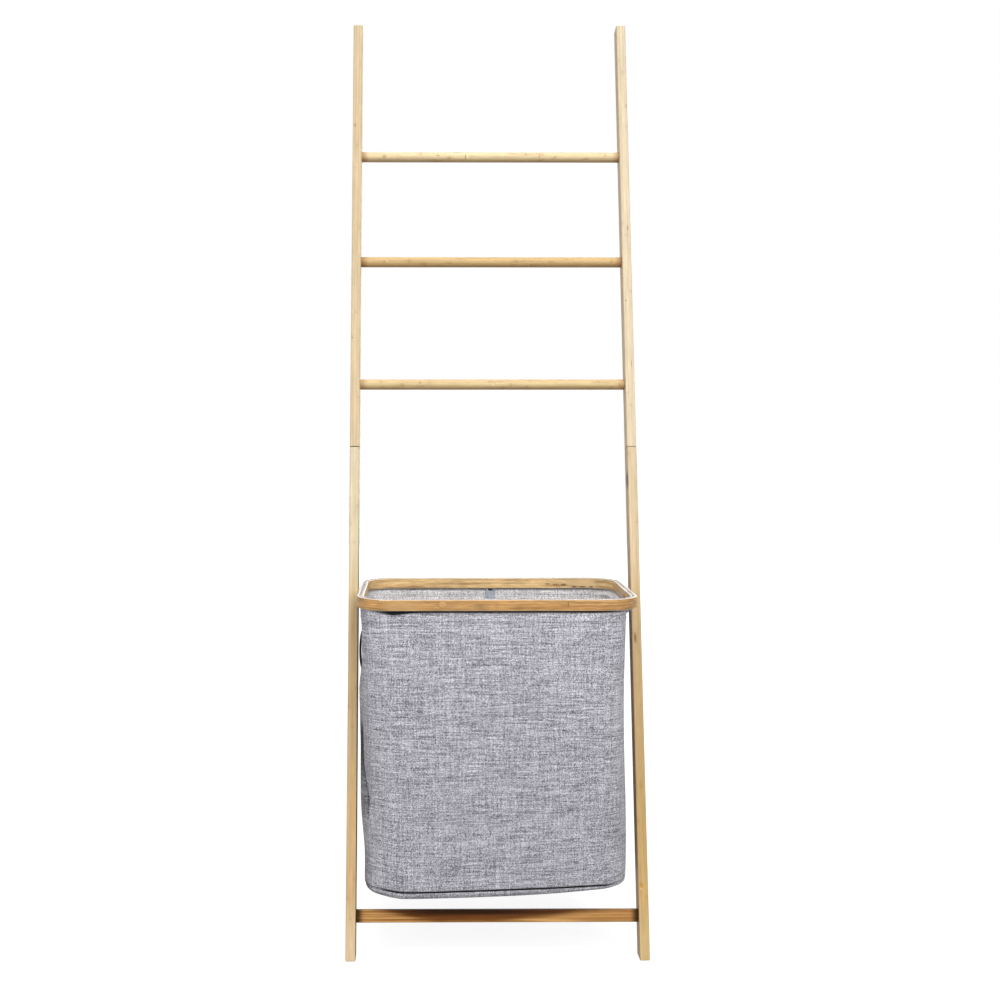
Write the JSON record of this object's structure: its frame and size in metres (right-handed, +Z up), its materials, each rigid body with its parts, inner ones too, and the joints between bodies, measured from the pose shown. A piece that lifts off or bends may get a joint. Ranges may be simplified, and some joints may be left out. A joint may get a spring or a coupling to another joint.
{
  "type": "towel ladder",
  "caption": "Leaning bamboo towel ladder with round rungs and a bent bamboo hoop between the rails that carries a hanging grey cloth laundry bag.",
  "frame": {"origin": "on the floor, under the middle of the box round the whole object as it leans", "axes": "+Z up; +X to the right of someone facing the ladder; +Y back towards the wall that it leans on"},
  "size_m": [0.496, 0.3998, 1.5978],
  "materials": {
    "bamboo_rail": "satin lacquered pale bamboo",
    "bamboo_rung": "satin lacquered pale bamboo",
    "bamboo_stretcher": "satin lacquered carbonised bamboo",
    "bamboo_hoop": "satin lacquered bent bamboo",
    "grey_cloth": "grey linen-look melange weave",
    "tab_cloth": "plain woven tape",
    "black_webbing": "flat woven webbing",
    "zinc_steel": "zinc plated",
    "brass_insert": "turned",
    "clear_nylon": "natural nylon",
    "grey_rubber": "matt"
  },
  "bodies": {
    "ladder": {"left_lower_rail": "bamboo_rail", "right_lower_rail": "bamboo_rail", "left_upper_rail": "bamboo_rail", "right_upper_rail": "bamboo_rail", "top_towel_rung": "bamboo_rung", "middle_towel_rung": "bamboo_rung", "lower_towel_rung": "bamboo_rung", "bottom_stretcher": "bamboo_stretcher", "rung_screws": "zinc_steel", "stretcher_screws": "zinc_steel", "splice_studs": "zinc_steel", "pivot_bolts": "zinc_steel", "pivot_sleeve_nuts": "zinc_steel", "splice_inserts": "brass_insert", "pivot_spacers": "clear_nylon", "left_foot_pad": "grey_rubber", "right_foot_pad": "grey_rubber", "wall_pads": "grey_rubber"},
    "basket": {"outer_hoop": "bamboo_hoop", "inner_hoop": "bamboo_hoop", "hoop_screws": "zinc_steel", "bag_hem": "grey_cloth", "bag_front_panel": "grey_cloth", "bag_back_panel": "grey_cloth", "bag_left_gusset": "grey_cloth", "bag_right_gusset": "grey_cloth", "bag_base_panel": "grey_cloth", "left_handle": "black_webbing", "right_handle": "black_webbing", "inner_tab": "tab_cloth"}
  },
  "joints": [
    {"name": "basket_tilt", "type": "hinge", "parent": "ladder", "child": "basket", "pos_m": [0, -0.04985, 0.5832], "axis": [1, 0, 0], "range_deg": [-90, 12]}
  ]
}
